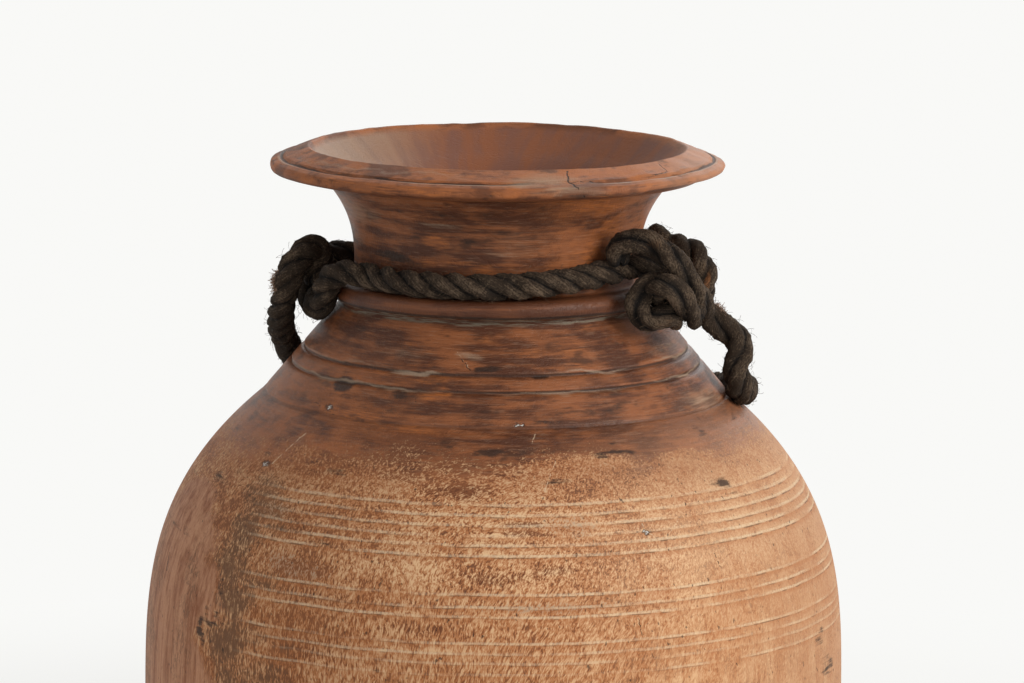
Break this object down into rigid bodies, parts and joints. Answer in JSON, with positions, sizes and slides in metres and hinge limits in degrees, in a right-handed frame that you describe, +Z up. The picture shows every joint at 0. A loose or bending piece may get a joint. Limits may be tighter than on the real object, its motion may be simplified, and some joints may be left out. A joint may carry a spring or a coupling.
{
  "type": "turned wooden pot with rope handle",
  "caption": "Turned wooden storage pot with a flared rim, raised neck ring and ovoid belly; a dark rope collar round the neck carries a loose rope handle that rests on the back of the shoulder.",
  "frame": {"origin": "centre of the flat base, on the turning axis", "axes": "+Z up along the turning axis, -Y to the front with both knots seen at the sides, +X to the right of the picture"},
  "size_m": [0.333, 0.333, 0.4192],
  "materials": {
    "pot_body": "oiled and worn, near-black stains on the shoulder",
    "neck_rope": "greasy dark laid rope",
    "left_knot": "greasy dark laid rope",
    "right_knot": "greasy dark laid rope",
    "rope_handle": "greasy dark laid rope"
  },
  "bodies": {
    "pot": {"pot_body": "pot_body"},
    "collar": {"neck_rope": "neck_rope", "left_knot": "left_knot", "right_knot": "right_knot"},
    "handle": {"rope_handle": "rope_handle"}
  },
  "joints": [
    {"name": "collar_turn", "type": "hinge", "parent": "pot", "child": "collar", "pos_m": [0, 0, 0.3617], "axis": [0, 0, 1], "continuous": true},
    {"name": "handle_swing", "type": "hinge", "parent": "collar", "child": "handle", "pos_m": [-0.1005, -0.01, 0.3464], "axis": [0.9966, -0.0809, -0.0147], "range_deg": [0, 62]}
  ]
}
